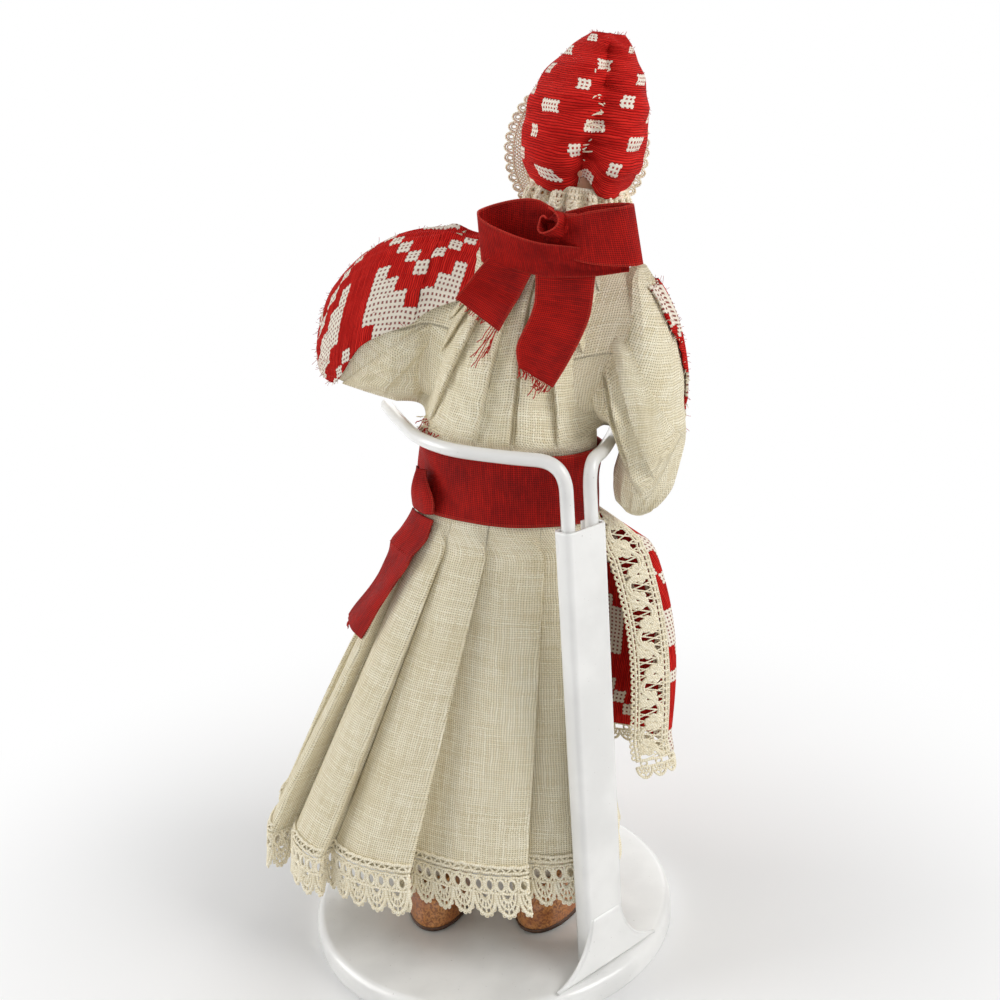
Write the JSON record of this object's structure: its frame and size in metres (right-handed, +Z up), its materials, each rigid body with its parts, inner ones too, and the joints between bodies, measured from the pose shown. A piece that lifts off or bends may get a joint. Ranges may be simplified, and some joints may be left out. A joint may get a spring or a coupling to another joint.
{
  "type": "folk costume doll",
  "caption": "Cloth doll in a red and cream folk costume with cap, bow, sash and pleated skirt, held at the waist by a white wire doll stand.",
  "frame": {"origin": "centre of the stand base's underside", "axes": "+Z up, -Y the way the doll faces, +X the doll's left"},
  "size_m": [0.1173, 0.098, 0.2286],
  "materials": {
    "enamel": "glossy white enamel",
    "board": "plain pressed board",
    "linen": "unbleached plain-weave linen",
    "woven_red": "red and white pattern weave",
    "ribbon": "ribbed taffeta ribbon",
    "lace": "cotton bobbin lace",
    "shoe": "polished tan",
    "skin": "smooth stuffed cotton",
    "hair": "flaxen wool"
  },
  "bodies": {
    "stand": {"stand_base": "enamel", "base_pad": "board", "stand_post": "enamel"},
    "clip": {"clip_wire": "enamel"},
    "doll": {"torso": "linen", "leg_left": "linen", "leg_right": "linen", "blouse_body": "linen", "skirt": "linen", "apron": "woven_red", "sash": "ribbon", "sash_knot": "ribbon", "sash_tail": "ribbon", "neck_ribbon": "ribbon", "bow_knot": "ribbon", "bow_loop_left": "ribbon", "bow_loop_right": "ribbon", "bow_tail_left": "ribbon", "bow_tail_right": "ribbon", "skirt_lace": "lace", "apron_lace_right": "lace", "apron_lace_left": "lace", "apron_fringe": "lace", "shoe_left": "shoe", "shoe_right": "shoe"},
    "head": {"head": "skin", "hair": "hair", "cap": "woven_red", "cap_lace": "lace", "nape_lace": "lace"},
    "arm_left": {"arm_left": "linen", "hand_left": "skin", "sleeve_left": "linen", "sleeve_panel_left": "woven_red", "cuff_left": "woven_red"},
    "arm_right": {"arm_right": "linen", "hand_right": "skin", "sleeve_right": "linen", "sleeve_panel_right": "woven_red", "cuff_right": "woven_red"}
  },
  "joints": [
    {"name": "clip_slide", "type": "slide", "parent": "stand", "child": "clip", "axis": [0, 0, 1], "range_m": [0, 0.04]},
    {"name": "doll_release", "type": "slide", "parent": "clip", "child": "doll", "axis": [0, -1, 0], "range_m": [0, 0.09]},
    {"name": "head_turn", "type": "hinge", "parent": "doll", "child": "head", "pos_m": [-0.02882, -0.0021, 0.18954], "axis": [-0.1908, 0, 0.9816], "range_deg": [-40, 40]},
    {"name": "arm_left_swing", "type": "hinge", "parent": "doll", "child": "arm_left", "pos_m": [-0.00382, -0.0021, 0.18046], "axis": [-0.9563, 0, -0.2924], "range_deg": [0, 40]},
    {"name": "arm_right_swing", "type": "hinge", "parent": "doll", "child": "arm_right", "pos_m": [-0.04064, -0.0021, 0.1692], "axis": [-0.9563, 0, -0.2924], "range_deg": [0, 40]}
  ]
}
